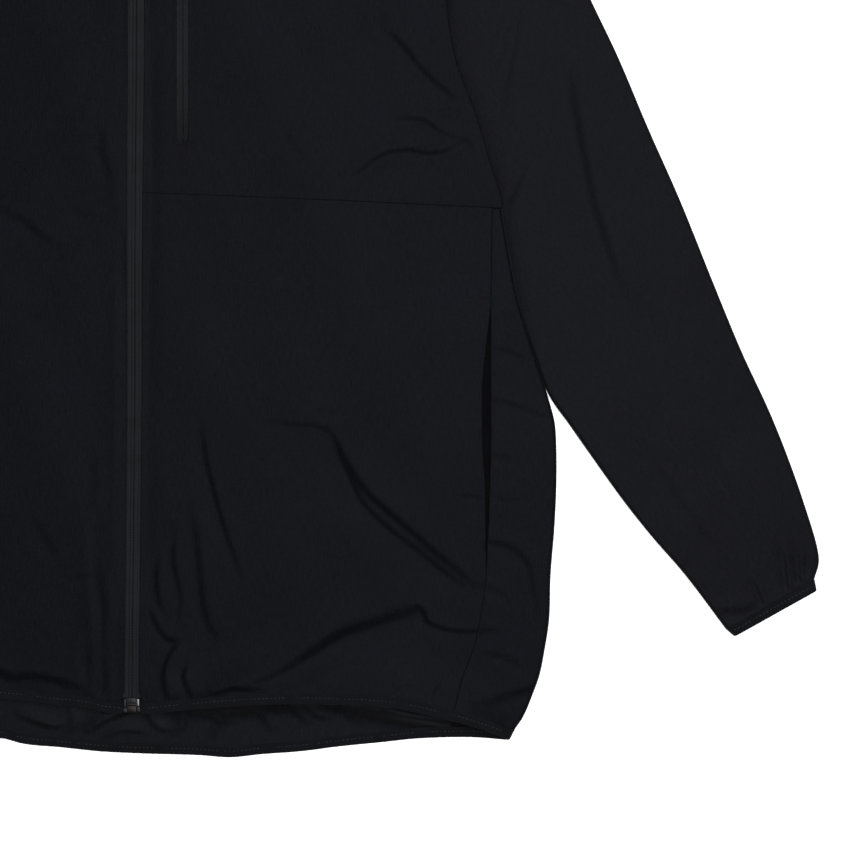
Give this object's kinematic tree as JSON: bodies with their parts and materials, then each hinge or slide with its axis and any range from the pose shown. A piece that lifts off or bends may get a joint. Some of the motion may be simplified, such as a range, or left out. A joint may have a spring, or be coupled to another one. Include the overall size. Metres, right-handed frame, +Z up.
{
  "type": "softshell jacket",
  "caption": "Black zip-front softshell jacket with stand collar, laid flat and face up, with a chest zip pocket, hand pockets and elastic-bound hem and cuffs.",
  "frame": {"origin": "middle of the laid-out jacket, on the surface that it lies on", "axes": "+X to the wearer's left, +Y to the collar, +Z up out of the front"},
  "size_m": [0.961, 0.8268, 0.0099],
  "materials": {
    "shell_cloth": "matte, finely woven, slightly blue black",
    "elastic_binding": "matte ribbed elastic",
    "pocket_cloth": "matte, faintly brown black",
    "zip_tape": "fine woven tape, dark grey",
    "coated_zip_tape": "smooth coated tape, satin",
    "zip_metal": "bright nickel"
  },
  "bodies": {
    "jacket": {"back_panel": "shell_cloth", "left_chest_panel": "shell_cloth", "left_lower_front_panel": "shell_cloth", "right_front_panel": "shell_cloth", "left_side_panel": "shell_cloth", "right_side_panel": "shell_cloth", "left_sleeve": "shell_cloth", "right_sleeve": "shell_cloth", "collar": "shell_cloth", "hem_binding": "elastic_binding", "left_cuff_binding": "elastic_binding", "right_cuff_binding": "elastic_binding", "left_pocket_cloth": "pocket_cloth", "right_pocket_cloth": "pocket_cloth", "main_zip_tape_left": "zip_tape", "main_zip_tape_right": "zip_tape", "chest_zip_tape_left": "coated_zip_tape", "chest_zip_tape_right": "coated_zip_tape", "main_zip_box": "zip_metal", "main_zip_stop_left": "zip_metal", "main_zip_stop_right": "zip_metal", "main_zip_slider": "zip_metal", "chest_zip_slider": "zip_metal"},
    "main_zip_tab": {"main_zip_pull": "zip_metal"},
    "chest_zip_tab": {"chest_zip_pull": "zip_metal"}
  },
  "joints": [
    {"name": "main_pull_swing", "type": "hinge", "parent": "jacket", "child": "main_zip_tab", "pos_m": [0.0018, 0.33784, 0.0074], "axis": [-1, 0, 0], "range_deg": [0, 165]},
    {"name": "chest_pull_swing", "type": "hinge", "parent": "jacket", "child": "chest_zip_tab", "pos_m": [0.0343, 0.16384, 0.0074], "axis": [-1, 0, 0], "range_deg": [0, 165]}
  ]
}
